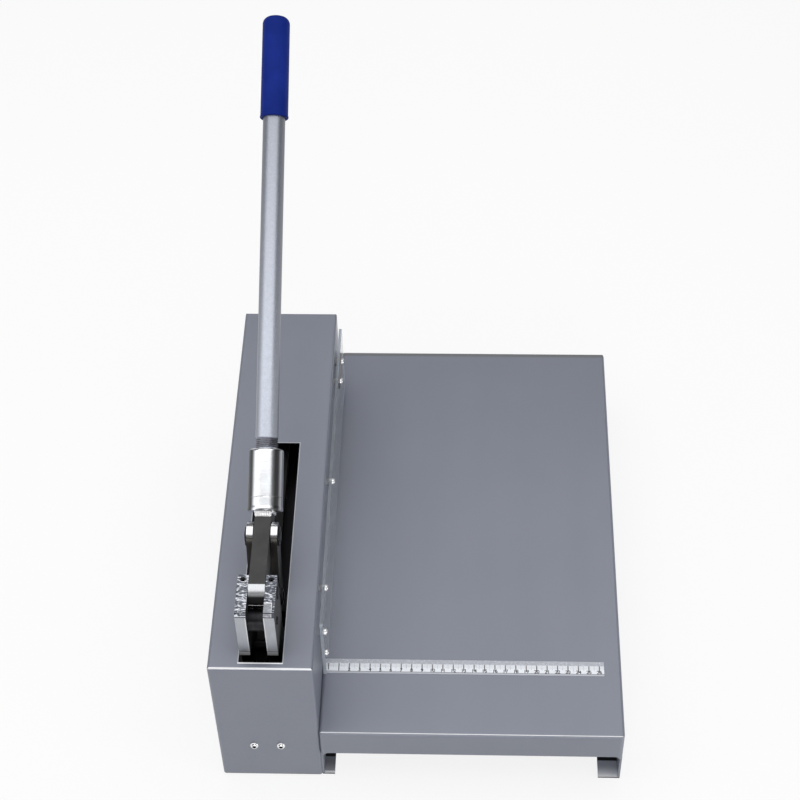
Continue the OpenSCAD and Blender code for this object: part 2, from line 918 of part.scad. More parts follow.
// The wire of a return spring: a straight foot, the turns and a straight head
spring_steps = 8;
spring_sides = 6;
turns_z0 = spring_z0 + spring_wire;
turns_z1 = spring_z1 - spring_wire;
spring_pitch = (turns_z1 - turns_z0) / spring_turns;
function coil_point(i) =
  let (a = i * 360 / spring_steps)
  [spring_d / 2 * cos(a), spring_d / 2 * sin(a), turns_z0 + spring_pitch * i / spring_steps];
coil_path = [for (i = [0:spring_turns * spring_steps]) coil_point(i)];
spring_path = concat([[spring_d / 2, 0, spring_z0]], coil_path, [[spring_d / 2, 0, spring_z1]]);

// A ring of the wire: it turns with the coil, and the two end rings lie flat on their seats
function spring_ring(i) =
  let (
    last = len(spring_path) - 1,
    p = spring_path[i],
    out = [p[0], p[1], 0] / norm([p[0], p[1], 0]),
    lean = i == 0 || i == last ? 90 : (i == 1 || i == last - 1 ? 45 : 0),
    along = [-out[1] * cos(lean), out[0] * cos(lean), sin(lean)],
    side = cross(out, along)
  )
  [for (k = [0:spring_sides - 1])
    let (a = k * 360 / spring_sides)
    p + spring_wire / 2 * (cos(a) * out + sin(a) * side)];

function ring_faces(i) =
  [for (k = [0:spring_sides - 1])
    for (f = [0, 1])
      let (
        a = i * spring_sides + k,
        b = i * spring_sides + (k + 1) % spring_sides
      )
      f == 0 ? [a, b, b + spring_sides] : [a, b + spring_sides, a + spring_sides]];

function end_faces(first, flip) =
  [for (k = [1:spring_sides - 2])
    flip ? [first, first + k + 1, first + k] : [first, first + k, first + k + 1]];

module return_spring(y) {
  rings = len(spring_path);
  translate([mech_x, y, 0])
    polyhedron(
      points = [for (i = [0:rings - 1]) each spring_ring(i)],
      faces = concat(
        [for (i = [0:rings - 2]) each ring_faces(i)],
        end_faces(0, true),
        end_faces((rings - 1) * spring_sides, false)
      )
    );
}

module front_return_spring() {
  color("slategray") return_spring(front_rod_y);
}

module rear_return_spring() {
  color("slategray") return_spring(rear_rod_y);
}

// Least gap between neighbouring turns, measured on the wire's own points
spring_gap = min([for (i = [0:len(coil_path) - 1 - spring_steps])
  norm(coil_path[i + spring_steps] - coil_path[i]) - spring_wire]);
echo(least_spring_gap_mm = spring_gap);

// Side view of the ram: a long bar with a lug for the links near its front
module ram_profile() {
  lug_foot = lug_r + lug_h / 2;
  lug_neck = lug_r - 1;
  polygon([
    [ram_front, ram_bottom], [ram_back, ram_bottom], [ram_back, ram_top],
    [ram_pin[0] + lug_foot, ram_top], [ram_pin[0] + lug_neck, ram_pin[1]],
    [ram_pin[0] - lug_neck, ram_pin[1]], [ram_pin[0] - lug_foot, ram_top],
    [ram_front, ram_top]
  ]);
  translate(ram_pin)
    circle(lug_r);
}

module ram_beam() {
  color("slategray")
    difference() {
      plate_x(ram_l, ram_r)
        ram_profile();
      bar_x(ram_pin_d + 2 * hole_clear, ram_l - 1, ram_r + 1, ram_pin);
      for (y = [front_rod_y, rear_rod_y])
        translate([mech_x, y, ram_bottom - 1])
          cylinder(d = rod_hole_d, h = ram_top - ram_bottom + 2);
      for (y = blade_screw_ys) {
        bar_x(m6 + 2 * hole_clear, ram_l - 1, ram_r + 1, [y, upper_screw_z]);
        bar_x(m6_head_d + 4 * hole_clear, ram_l - 1, ram_l + m6_head_h + flat_sink,
          [y, upper_screw_z]);
      }
    }
}

module upper_blade() {
  rake = atan2(rake_rise, cut_len);
  edge_z = table_h + mouth_front;
  bevel = 3;
  land = 1.5;
  color("silver")
    difference() {
      plate_x(ram_r, shear_x)
        polygon([
          [blade_y0, edge_z], [blade_y1, edge_z + rake_rise],
          [blade_y1, table_h + blade_top], [blade_y0, table_h + blade_top]
        ]);
      translate([ram_r, blade_y0, edge_z])
        rotate([rake, 0, 0])
          profile_y(-10, cut_len + 30)
            polygon([
              [-1, -1], [upper_blade_t - land, -1], [upper_blade_t - land, 0], [0, bevel], [-1, bevel]
            ]);
      for (y = blade_screw_ys)
        bar_x(m6 + 2 * hole_clear, ram_r - 1, shear_x - 1, [y, upper_screw_z]);
    }
}

module upper_blade_screws() {
  color("dimgray")
    for (y = blade_screw_ys)
      translate([ram_l + m6_head_h + flat_sink, y, upper_screw_z])
        facing_left()
          cap_screw(m6, m6_head_d, m6_head_h, ram_t - m6_head_h - flat_sink + upper_blade_t - 2);
}

clip_gap = 0.3;
clip_x = link_out + clip_gap;
clip_inset = 0.9;
pin_end = clip_x + clip_t + clip_inset;

module ram_pin_shaft() {
  color("silver") pin_x(ram_pin_d, mech_x - pin_end, mech_x + pin_end, ram_pin);
}

// A pair of retaining rings just outside the links
module pin_clips(d, at) {
  for (x = [mech_x - clip_x - clip_t, mech_x + clip_x])
    difference() {
      bar_x(d + 2 * clip_w, x, x + clip_t, at);
      bar_x(d + 2 * hole_clear, x - 1, x + clip_t + 1, at);
    }
}

module ram_pin_clips() {
  color("dimgray") pin_clips(ram_pin_d, ram_pin);
}

// Side view of a link: a bar with two round eyes, the lower one drilled with free play
module link_profile() {
  slot_r = ram_pin_d / 2 + play_along;
  translate(link_top)
    rotate(link_dir)
      difference() {
        union() {
          for (x = [0, link_len])
            translate([x, 0])
              circle(link_eye_r);
          translate([0, -link_eye_r])
            square([link_len, 2 * link_eye_r]);
        }
        circle(d = pin_d + 2 * running_clear);
        translate([link_len, 0]) {
          for (s = [-1, 1])
            translate([0, s * play_across])
              circle(slot_r);
          translate([-slot_r, -play_across])
            square([2 * slot_r, 2 * play_across]);
        }
      }
}

module left_link() {
  color("dimgray")
    plate_x(mech_x - link_out, mech_x - link_in)
      link_profile();
}

module right_link() {
  color("dimgray")
    plate_x(mech_x + link_in, mech_x + link_out)
      link_profile();
}

// Side view of the lever's arm: a round eye, a straight bar and an end square to the handle
module arm_profile() {
  top_z = fulcrum[1] + arm_h / 2;
  low_z = fulcrum[1] - arm_h / 2;
  slope = tan(handle_angle);
  translate(fulcrum)
    circle(d = arm_h);
  polygon([
    [fulcrum[0], low_z], [socket_foot[0] - (low_z - socket_foot[1]) * slope, low_z],
    [socket_foot[0] - (top_z - socket_foot[1]) * slope, top_z], [fulcrum[0], top_z]
  ]);
}

module lever_arm() {
  color("dimgray")
    difference() {
      plate_x(mech_x - arm_t / 2, mech_x + arm_t / 2)
        arm_profile();
      bar_x(pin_d + 2 * running_clear, mech_x - arm_t, mech_x + arm_t, fulcrum);
      bar_x(pin_d + 2 * hole_clear, mech_x - arm_t, mech_x + arm_t, link_top);
    }
}

// Places children along the handle's axis, s from the foot of the socket
module on_handle(s) {
  translate([mech_x, socket_foot[0], socket_foot[1]])
    rotate([handle_angle - 90, 0, 0])
      translate([0, 0, s]) children();
}

module lever_socket() {
  edge = 1;
  r = socket_d / 2;
  color("silver")
    on_handle(0)
      difference() {
        rotate_extrude()
          polygon([
            [0, 0], [r - edge, 0], [r, edge],
            [r, socket_len - edge], [r - edge, socket_len], [0, socket_len]
          ]);
        translate([0, 0, socket_len - thread_in - 1])
          cylinder(d = thread_d + 2 * hole_clear, h = thread_in + 2);
      }
}

module lever_pipe() {
  thread_len = thread_in + thread_out;
  step = (pipe_d - thread_d) / 2;
  total = thread_len + pipe_len + grip_len - grip_cap;
  color("gainsboro")
    on_handle(socket_len - thread_in)
      rotate_extrude()
        polygon([
          [pipe_bore / 2, 0], [thread_d / 2, 0], [thread_d / 2, thread_len - step],
          [pipe_d / 2, thread_len], [pipe_d / 2, total], [pipe_bore / 2, total]
        ]);
}

// Half section of the grip: a slightly tapered sleeve with a rounded closed end
module grip_profile() {
  tip = grip_tip_d / 2;
  difference() {
    union() {
      polygon([[0, 0], [grip_d / 2, 0], [tip, grip_len - grip_round], [0, grip_len - grip_round]]);
      translate([0, grip_len - grip_round])
        square([tip - grip_round, grip_round]);
      intersection() {
        translate([tip - grip_round, grip_len - grip_round])
          circle(grip_round);
        translate([0, grip_len - grip_round - 0.01])
          square([tip, grip_round + 0.01]);
      }
    }
    translate([-1, -1])
      square([pipe_d / 2 + hole_clear + 1, grip_len - grip_cap + hole_clear + 1]);
  }
}

module lever_grip() {
  color("mediumblue")
    on_handle(grip_start)
      rotate_extrude()
        grip_profile();
}

module link_pin() {
  color("silver") pin_x(pin_d, mech_x - pin_end, mech_x + pin_end, link_top);
}

module link_pin_clips() {
  color("dimgray") pin_clips(pin_d, link_top);
}

base_plate();
left_front_upright();
right_front_upright();
left_rear_upright();
right_rear_upright();
front_guide_bar();
rear_guide_bar();
guide_bar_screws();
base_screws();
tie_spacer();
tie_pin();
stop_pins();
bed_beam();
lower_blade();
lower_blade_screws();
cover();
cover_screws();
table();
left_table_foot();
right_table_foot();
table_screws();
ruler();
ruler_rivets();
guard();
guard_spacers();
guard_screws();
guard_strap();
fulcrum_pin();
pin_lock_screws();
front_spring_rod();
rear_spring_rod();
front_return_spring();
rear_return_spring();
ram_beam();
upper_blade();
upper_blade_screws();
ram_pin_shaft();
ram_pin_clips();
left_link();
right_link();
lever_arm();
lever_socket();
lever_pipe();
lever_grip();
link_pin();
link_pin_clips();
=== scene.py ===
import json
import math

import bmesh
import bpy
from mathutils import Matrix, Vector


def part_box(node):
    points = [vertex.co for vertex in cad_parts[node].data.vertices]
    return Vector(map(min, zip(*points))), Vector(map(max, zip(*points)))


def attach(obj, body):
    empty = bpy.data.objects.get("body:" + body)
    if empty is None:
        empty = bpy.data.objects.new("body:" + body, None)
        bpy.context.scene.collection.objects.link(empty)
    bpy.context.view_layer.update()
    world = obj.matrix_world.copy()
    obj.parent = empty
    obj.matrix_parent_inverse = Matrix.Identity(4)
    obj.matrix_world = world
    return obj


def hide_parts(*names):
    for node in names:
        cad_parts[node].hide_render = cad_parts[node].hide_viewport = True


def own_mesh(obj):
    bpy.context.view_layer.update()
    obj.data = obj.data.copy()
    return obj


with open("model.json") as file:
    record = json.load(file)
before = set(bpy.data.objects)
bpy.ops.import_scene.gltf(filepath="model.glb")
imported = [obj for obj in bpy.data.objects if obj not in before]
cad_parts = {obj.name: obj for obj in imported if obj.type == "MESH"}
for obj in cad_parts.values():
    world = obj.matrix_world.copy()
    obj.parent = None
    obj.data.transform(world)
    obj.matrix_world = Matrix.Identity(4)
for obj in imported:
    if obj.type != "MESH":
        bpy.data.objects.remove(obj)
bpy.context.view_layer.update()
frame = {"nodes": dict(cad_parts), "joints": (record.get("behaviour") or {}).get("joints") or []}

# The bars that close the ram's channels, the stop pins and the bed are hot-rolled steel with a
# dark, patchy mill skin. The bars are screwed between the uprights, the bed to the base plate.


class Tone:
    """One socket of a node tree. Arithmetic on it adds Math nodes."""

    def __init__(self, tree, socket=None):
        self.tree = tree
        self.socket = socket

    def node(self, kind, settings, sockets, output=0):
        """Adds a node: its settings first, then the values or links of its sockets."""
        made = self.tree.nodes.new(kind)
        for name, value in settings.items():
            setattr(made, name, value)
        for name, value in sockets.items():
            if isinstance(value, Tone):
                self.tree.links.new(value.socket, made.inputs[name])
            else:
                made.inputs[name].default_value = value
        return Tone(self.tree, made.outputs[output])

    def math(self, operation, *values):
        return self.node("ShaderNodeMath", {"operation": operation}, dict(enumerate(values)))

    def __add__(self, other):
        return self.math("ADD", self, other)

    def __radd__(self, other):
        return self.math("ADD", other, self)

    def __sub__(self, other):
        return self.math("SUBTRACT", self, other)

    def __rsub__(self, other):
        return self.math("SUBTRACT", other, self)

    def __mul__(self, other):
        return self.math("MULTIPLY", self, other)

    def __rmul__(self, other):
        return self.math("MULTIPLY", other, self)

    def __truediv__(self, other):
        return self.math("DIVIDE", self, other)

    def __lt__(self, other):
        return self.math("LESS_THAN", self, other)

    def __neg__(self):
        return self.math("SUBTRACT", 0, self)

    def __abs__(self):
        return self.math("ABSOLUTE", self)

    def either(self, other):
        """The larger of two values."""
        return self.math("MAXIMUM", self, other)

    def part(self, axis):
        """The X, Y or Z of a vector."""
        return self.node("ShaderNodeSeparateXYZ", {}, {0: self}, axis)

    def rise(self, low, high):
        """0 at low and below, 1 at high and above, and a smooth rise between."""
        sockets = {"Value": self, "From Min": low, "From Max": high}
        return self.node("ShaderNodeMapRange", {"interpolation_type": "SMOOTHSTEP"}, sockets)

    def line(self, at, half_width):
        """1 on a line across this coordinate and 0 beside it."""
        return 1 - abs(self - at).rise(0.6 * half_width, half_width)

    def noise(self, scale, detail=3.0, stretch=(1, 1, 1), turn=(0, 0, 0)):
        """Noise from 0 to 1 on this vector, in cycles per metre, stretched where asked."""
        sockets = {"Vector": self, "Rotation": turn, "Scale": stretch}
        mapped = self.node("ShaderNodeMapping", {}, sockets)
        sockets = {"Vector": mapped, "Scale": scale, "Detail": detail}
        return self.node("ShaderNodeTexNoise", {}, sockets)

    def mix(self, low, high):
        """A colour between two colours, by this value."""
        return self.node("ShaderNodeMix", {"data_type": "RGBA"}, {0: self, 6: low, 7: high}, 2)

    def bump(self, strength, depth):
        """A normal from this height, with the depth in metres."""
        sockets = {"Strength": strength, "Distance": depth, "Height": self}
        return self.node("ShaderNodeBump", {}, sockets)


class Finish:
    """A material with one shader. Place is the Object coordinate, facing the surface's normal."""

    def __init__(self, name, **constants):
        self.material = bpy.data.materials.new(name)
        self.material.use_nodes = True
        self.tree = self.material.node_tree
        self.shader = self.tree.nodes["Principled BSDF"]
        for socket, value in constants.items():
            self.shader.inputs[socket.replace("_", " ")].default_value = value
        tone = Tone(self.tree)
        self.place = tone.node("ShaderNodeTexCoord", {}, {}, "Object")
        self.facing = tone.node("ShaderNodeNewGeometry", {}, {}, "Normal")

    def feed(self, socket, value):
        """Links a value or a colour to a socket of the shader."""
        self.tree.links.new(value.socket, self.shader.inputs[socket])

    def show(self, surface):
        """Sends another shader, such as a mix, to the surface."""
        self.tree.links.new(surface.socket, self.tree.nodes["Material Output"].inputs["Surface"])

    def dress(self, *nodes):
        """Puts this finish on CAD nodes."""
        for node in nodes:
            frame["nodes"][node].material_slots[0].material = self.material


mill_skin = Finish("mill_skin", Metallic=0.8)
patches = mill_skin.place.noise(60, 5)
grain = mill_skin.place.noise(900, 2)
rolled = patches.rise(0.35, 0.68).mix((0.03, 0.03, 0.032, 1), (0.075, 0.073, 0.072, 1))
mill_skin.feed("Base Color", rolled)
mill_skin.feed("Roughness", 0.36 + 0.2 * patches)
mill_skin.feed("Normal", (grain + patches).bump(0.2, 0.0002))
mill_skin.dress("front_guide_bar", "rear_guide_bar", "bed_beam", "stop_pins")

# The base plate and the ram are sawn from thick plate and brushed with black primer, which is dull
# and shows the strokes of the brush. The ram slides between the uprights.
black_primer = Finish("black_primer", Specular_IOR_Level=0.2)
strokes = black_primer.place.noise(300, 3, (1, 0.08, 1))
black_primer.feed("Base Color", strokes.mix((0.008, 0.008, 0.009, 1), (0.022, 0.022, 0.023, 1)))
black_primer.feed("Roughness", 0.6 + 0.2 * strokes)
black_primer.feed("Normal", strokes.bump(0.2, 0.0002))
black_primer.dress("base_plate", "ram_beam")

# Bright zinc-plated stock screws hold the uprights, the guide bars and the table together, and two
# zinc-plated rods carry the springs. A faint bloom breaks the plating's shine.
bright_zinc = Finish("bright_zinc", Metallic=1.0)
bloom = bright_zinc.place.noise(700, 3)
bright_zinc.feed("Base Color", bloom.mix((0.72, 0.73, 0.75, 1), (0.9, 0.9, 0.9, 1)))
bright_zinc.feed("Roughness", 0.12 + 0.14 * bloom)
bright_zinc.feed("Normal", bloom.bump(0.08, 0.0001))
bright_zinc.dress("base_screws", "guide_bar_screws", "table_screws",
                  "front_spring_rod", "rear_spring_rod")

# The four uprights are sawn from plate and screwed to the base plate. Their broad sides keep the
# plate's dark skin, their sawn edges are light, and the tops of the two ears carry rough saw marks
# and a scribed line, with a scribed box on the right ear.
fulcrum = Vector(next(j for j in frame["joints"] if j["name"] == "lever_swing")["pos_m"])
cover_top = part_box("cover")[1].z
left_ear_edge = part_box("left_front_upright")[1].x
right_ear_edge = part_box("right_front_upright")[0].x
ear_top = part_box("left_front_upright")[1].z
ear_reach, ear_foot, ear_chamfer = 0.0335, 0.0062, 0.003
box_depth, box_width = 0.014, 0.0073
scribe_half_width, thin_half_width, edge_inset = 0.0006, 0.0005, 0.0003
ear_front = fulcrum.y - ear_reach
foot_line = cover_top + ear_foot
box_back, box_side = ear_front + box_depth, right_ear_edge + box_width
sawn_plate = Finish("sawn_plate", Metallic=0.9)
place, facing = sawn_plate.place, sawn_plate.facing
broad_side = abs(facing.part("X")).rise(0.6, 0.9)
top = facing.part("Z").rise(0.45, 0.65)
patch = place.noise(110, 3)
saw_lines = place.noise(900, 2, (1, 1, 0.08))
on_left = place.part("X") < 0
saw_marks = place.noise(760, 3, (0.4, 1.3, 1), (0, 0, 0.3))
dashes = saw_marks.rise(0.5 - 0.06 * on_left, 0.68 - 0.06 * on_left)
sawn_top = (dashes * (0.5 + patch)).mix((0.09, 0.097, 0.117, 1), (0.78, 0.8, 0.86, 1))
in_box = (-place.part("X") < -right_ear_edge) * (place.part("X") < box_side)
boxed = in_box * (place.part("Y") < box_back)
sawn_top = (0.7 * boxed).mix(sawn_top, (0.36, 0.37, 0.4, 1))
box_lines = place.part("X").line(box_side, thin_half_width) * (place.part("Y") < box_back)
box_lines = box_lines.either(place.part("Y").line(box_back, thin_half_width))
sawn_top = (in_box * box_lines).mix(sawn_top, (0.92, 0.93, 0.96, 1))
sawn_edge = (saw_lines * 0.6 + patch * 0.4).mix((0.34, 0.355, 0.39, 1), (0.53, 0.545, 0.58, 1))
# Painted light on the uprights: the sawn edge below the step line is painted light, and thin
# painted highlights run along the ears' inner edges.
painted_light_below_step = 1 - place.part("Z").rise(foot_line - 0.0004, foot_line)
inner_edge_highlight = place.part("X").line(left_ear_edge - edge_inset, scribe_half_width)
inner_edge_highlight = inner_edge_highlight + place.part("X").line(right_ear_edge + edge_inset, scribe_half_width)
painted_edge_light = (0.8 * painted_light_below_step + 0.7 * inner_edge_highlight).rise(0, 1)
sawn_edge = painted_edge_light.mix(sawn_edge, (0.86, 0.87, 0.9, 1))
scribe = place.part("Y").line(ear_front + ear_chamfer, scribe_half_width)
step = place.part("Z").line(foot_line, thin_half_width)
chamfer_line = place.part("Z").line(ear_top - ear_chamfer, thin_half_width)
chamfer_line = chamfer_line * (-facing.part("Y")).rise(0.5, 0.6)
dark_lines = (scribe * top + step * (1 - top) + chamfer_line).rise(0, 1)
sawn_face = dark_lines.mix(top.mix(sawn_edge, sawn_top), (0.06, 0.06, 0.075, 1))
plate_skin = patch.mix((0.05, 0.05, 0.048, 1), (0.13, 0.13, 0.125, 1))
# Below the cover's top the uprights are painted near-black: painted shade inside the cover.
shade_in_cover = 1 - place.part("Z").rise(cover_top - 0.002, cover_top)
upright_tone = shade_in_cover.mix(broad_side.mix(sawn_face, plate_skin), (0.012, 0.012, 0.012, 1))
sawn_plate.feed("Base Color", upright_tone)
sawn_plate.feed("Roughness", 0.34 + 0.2 * saw_lines + 0.1 * broad_side)
relief = dashes * top + saw_lines * 0.4 + patch * broad_side - scribe * top - step
sawn_plate.feed("Normal", relief.bump(0.45, 0.0003))
sawn_plate.dress("left_front_upright", "right_front_upright",
                 "left_rear_upright", "right_rear_upright")

# The blades are tool steel, black from hardening, with a bright band along the cutting edge where
# the grinding wheel has run lengthwise. They are screwed to the bed and to the ram.
shear_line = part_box("lower_blade")[1].z
ground_blade = Finish("ground_blade", Metallic=0.95)
wheel = ground_blade.place.noise(900, 2, (1, 0.02, 1))
ground = 1 - abs(ground_blade.place.part("Z") - shear_line).rise(0.03, 0.034)
ground_band = wheel.mix((0.5, 0.51, 0.53, 1), (0.7, 0.7, 0.72, 1))
ground_blade.feed("Base Color", ground.mix((0.014, 0.014, 0.016, 1), ground_band))
ground_blade.feed("Roughness", 0.42 - 0.2 * ground + 0.16 * wheel)
ground_blade.feed("Normal", wheel.bump(0.15, 0.0001))
ground_blade.dress("lower_blade", "upper_blade")

# Blackened steel, rubbed in places: the pins and their retaining rings, the sleeve that keeps the
# ears apart, the grub screws in the ears and the screws of the blades.
blackened = Finish("blackened_steel", Metallic=0.9)
rubbed = blackened.place.noise(90, 4)
oxide = rubbed.rise(0.4, 0.75).mix((0.018, 0.018, 0.021, 1), (0.046, 0.046, 0.05, 1))
blackened.feed("Base Color", oxide)
blackened.feed("Roughness", 0.3 + 0.2 * rubbed)
blackened.feed("Normal", blackened.place.noise(1100, 2, (1, 0.1, 0.1)).bump(0.15, 0.0001))
blackened.dress("lower_blade_screws", "upper_blade_screws", "pin_lock_screws", "ram_pin_clips",
                "link_pin_clips", "fulcrum_pin", "link_pin", "ram_pin_shaft", "tie_pin",
                "tie_spacer")

# Two coil springs of drawn wire push the ram back up. Each stands round its rod, with a closed turn
# at either end, and is squeezed between the base plate and the ram.
spring_wire, wire_sides = 0.0018, 10
coil_radius = 0.0052
open_turns, steps_per_turn = 11, 24
closed_rise = 1.04 * spring_wire


def new_piece(name, bm, finish, crease=0.6):
    """An object from a bmesh that is in place. Edges over the crease angle stay sharp."""
    for face in bm.faces:
        face.smooth = True
    for edge in bm.edges:
        edge.smooth = edge.calc_face_angle(0) < crease
    mesh = bpy.data.meshes.new(name)
    bm.to_mesh(mesh)
    bm.free()
    mesh.materials.append(finish.material)
    piece = bpy.data.objects.new(name, mesh)
    bpy.context.scene.collection.objects.link(piece)
    return piece


drawn_wire = Finish("drawn_wire", Metallic=0.95)
drawn = drawn_wire.place.noise(800, 2)
drawn_wire.feed("Base Color", drawn.mix((0.17, 0.17, 0.18, 1), (0.3, 0.3, 0.31, 1)))
drawn_wire.feed("Roughness", 0.26 + 0.16 * drawn)
drawn_wire.feed("Normal", drawn.bump(0.1, 0.0001))
for end in ("front", "rear"):
    low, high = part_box(end + "_return_spring")
    axis_x, axis_y = (low.x + high.x) / 2, (low.y + high.y) / 2
    coil = bmesh.new()
    ring = bmesh.ops.create_circle(coil, cap_ends=True, segments=wire_sides,
                                   radius=spring_wire / 2)["verts"]
    bmesh.ops.rotate(coil, verts=ring, cent=(0, 0, 0), matrix=Matrix.Rotation(math.pi / 2, 3, "X"))
    bmesh.ops.translate(coil, verts=ring, vec=(coil_radius, 0, low.z + spring_wire / 2))
    wound = list(coil.verts) + list(coil.edges) + list(coil.faces)
    open_rise = high.z - low.z - spring_wire - 2 * closed_rise
    for turns, rise in ((1, closed_rise), (open_turns, open_rise), (1, closed_rise)):
        steps = steps_per_turn * turns
        wound = bmesh.ops.spin(coil, geom=wound, axis=(0, 0, 1), cent=(0, 0, 0),
                               dvec=(0, 0, rise / steps), angle=2 * math.pi * turns,
                               steps=steps)["geom_last"]
    bmesh.ops.translate(coil, verts=coil.verts, vec=(axis_x, axis_y, 0))
    bmesh.ops.recalc_face_normals(coil, faces=coil.faces)
    spring = new_piece(end + "_coil_spring", coil, drawn_wire)
    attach(spring, "frame")
    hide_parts(end + "_return_spring")
    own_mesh(spring)

# The cover and the work table are folded from sheet steel and sprayed with satin silver-grey
# paint, which shows fine orange peel, flake and faint streaks. Painted highlights, white lines, run
# along the front bends, the slot's rim and the tips of the feet. The tops of the feet's flanges are
# painted light at the front and painted dark further back, as painted light and painted shadow
# under the table, and the cover's inside is painted near-black as painted shade.
slot_front, slot_half_length = -0.214, 0.129
slot_middle_x, slot_half_width = 0.0001, 0.02
front_rim_half_length, rim_offset, rim_half_width = 0.0205, 0.0007, 0.0008
above_table, beside_left_foot = 0.1, 0.1
half_sheet = 0.0008
feet_low, feet_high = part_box("left_table_foot")
cover_high, table_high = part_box("cover")[1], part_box("table")[1]
grey_paint = Finish("grey_paint", Coat_Weight=0.3, Coat_Roughness=0.22)
place, facing = grey_paint.place, grey_paint.facing
cloud = 0.6 * place.noise(9, 3) + 0.4 * place.noise(26, 2, (1, 0.1, 1))
flake = place.noise(1500, 1)
peel = place.noise(420, 2)
level = facing.part("Z").rise(0.5, 0.9)
on_table = place.part("Z") < above_table
# The bends that face front and up get a painted highlight: a white line along them.
bend_top = facing.part("Z").rise(0.5 + 0.32 * on_table, 0.76 + 0.14 * on_table)
bend_highlight = (-facing.part("Y")).rise(0.26, 0.44) * bend_top
# The slot's rim gets painted highlights: a white line at its front edge, fainter along the rest.
front_rim_highlight = place.part("Y").line(slot_front - rim_offset, rim_half_width)
front_rim_highlight = front_rim_highlight * (abs(place.part("X")) < front_rim_half_length)
beside_slot = abs(place.part("X") - slot_middle_x) - slot_half_width
behind_slot = abs(place.part("Y") - slot_front - slot_half_length) - slot_half_length
slot_edge_highlight = 1 - beside_slot.either(behind_slot).rise(0.0004, 0.0009)
slot_rim_highlight = front_rim_highlight.either(0.4 * slot_edge_highlight) * level
flange = (1 - place.part("Z").rise(0.0022, 0.0026)) * level
feet_middle, feet_half_length = (feet_high.y + feet_low.y) / 2, (feet_high.y - feet_low.y) / 2
from_end = feet_half_length - abs(place.part("Y") - feet_middle)
# The flange's front tip gets a painted highlight.
flange_tip_highlight = flange * (1 - from_end.rise(0.002, 0.0028))
painted_highlight = bend_highlight.either(slot_rim_highlight.either(flange_tip_highlight))
shade = cloud.rise(0.3, 0.7).mix((0.198, 0.217, 0.265, 1), (0.23, 0.248, 0.296, 1))
film = flake.rise(0.3, 0.7).mix(shade, (0.24, 0.256, 0.312, 1))
back_edge = level * place.part("Y").rise(table_high.y - 0.0065, table_high.y - 0.0055)
film = (0.6 * back_edge).mix(film, (0.15, 0.155, 0.14, 1))
# Painted light and painted shadow on the flange tops: light at the front tip, near-black further
# under the table, and half dark on the foot beside the cover.
shade_by_cover = place.part("X") < beside_left_foot
flange_light = from_end.rise(0.002, 0.013).mix((0.92, 0.93, 1.0, 1), (0.52, 0.55, 0.62, 1))
flange_shadow = from_end.rise(0.0168, 0.0188).either(0.5 * shade_by_cover)
film = flange.mix(film, flange_shadow.mix(flange_light, (0.01, 0.01, 0.011, 1)))
cut_end = (1 - place.part("Z").rise(0.0018, 0.0022)) * abs(facing.part("Y")).rise(0.5, 0.9)
film = cut_end.mix(film, (0.05, 0.05, 0.06, 1))
# The cover's inside is painted near-black: painted shade.
inside_shade = abs(place.part("X")) < cover_high.x - half_sheet
inside_shade = inside_shade * (abs(place.part("Y")) < cover_high.y - half_sheet)
inside_shade = inside_shade * (place.part("Z") < cover_high.z - half_sheet)
film = inside_shade.mix(film, (0.012, 0.012, 0.013, 1))
# Where the painted highlights lie, the paint turns white, not metallic and less rough.
grey_paint.feed("Base Color", painted_highlight.mix(film, (0.97, 0.98, 1.0, 1)))
grey_paint.feed("Metallic", 0.25 - 0.25 * painted_highlight)
grey_paint.feed("Roughness", 0.4 + 0.08 * cloud + 0.06 * flake - 0.12 * painted_highlight)
grey_paint.feed("Normal", peel.bump(0.1, 0.0002))
grey_paint.dress("cover", "table", "left_table_foot", "right_table_foot")

# Button-head screws with a hexagon socket hold the cover to the uprights, two at each end. They are
# bright zinc-plated stock screws.


def spun(outline, steps):
    """A bmesh from an outline of radii and heights that is spun once round Z."""
    shape = bmesh.new()
    points = [shape.verts.new((radius, 0, height)) for radius, height in outline]
    chain = [shape.edges.new(pair) for pair in zip(points, points[1:])]
    bmesh.ops.spin(shape, geom=points + chain, axis=(0, 0, 1), cent=(0, 0, 0), angle=2 * math.pi,
                   steps=steps, use_merge=True)
    return shape


def button_screw(head, height, key, shank, length):
    """A screw along Z whose head stands on z = 0."""
    shape = spun([(shank, -length), (shank, 0), (head, 0), (head, 0.2 * height),
                  (0.96 * head, 0.5 * height), (0.84 * head, 0.8 * height),
                  (0.66 * head, height), (0.74 * key, height)], steps=36)
    rim = [e for e in shape.edges if e.is_boundary and min(v.co.z for v in e.verts) > 0.9 * height]
    corners = bmesh.ops.create_circle(shape, segments=6, radius=key / math.sqrt(3))["verts"]
    bmesh.ops.translate(shape, verts=corners, vec=(0, 0, height))
    mouth = [e for e in shape.edges if e.verts[0] in corners and e.verts[1] in corners]
    bmesh.ops.bridge_loops(shape, edges=rim + mouth)
    sunk = bmesh.ops.extrude_edge_only(shape, edges=mouth)["geom"]
    sunk_corners = [g for g in sunk if isinstance(g, bmesh.types.BMVert)]
    bmesh.ops.translate(shape, verts=sunk_corners, vec=(0, 0, -0.7 * height))
    sunk_edges = [g for g in sunk if isinstance(g, bmesh.types.BMEdge) and g.is_boundary]
    bmesh.ops.edgeloop_fill(shape, edges=sunk_edges)
    bmesh.ops.holes_fill(shape, edges=[e for e in shape.edges if e.is_boundary], sides=0)
    bmesh.ops.recalc_face_normals(shape, faces=shape.faces)
    return shape


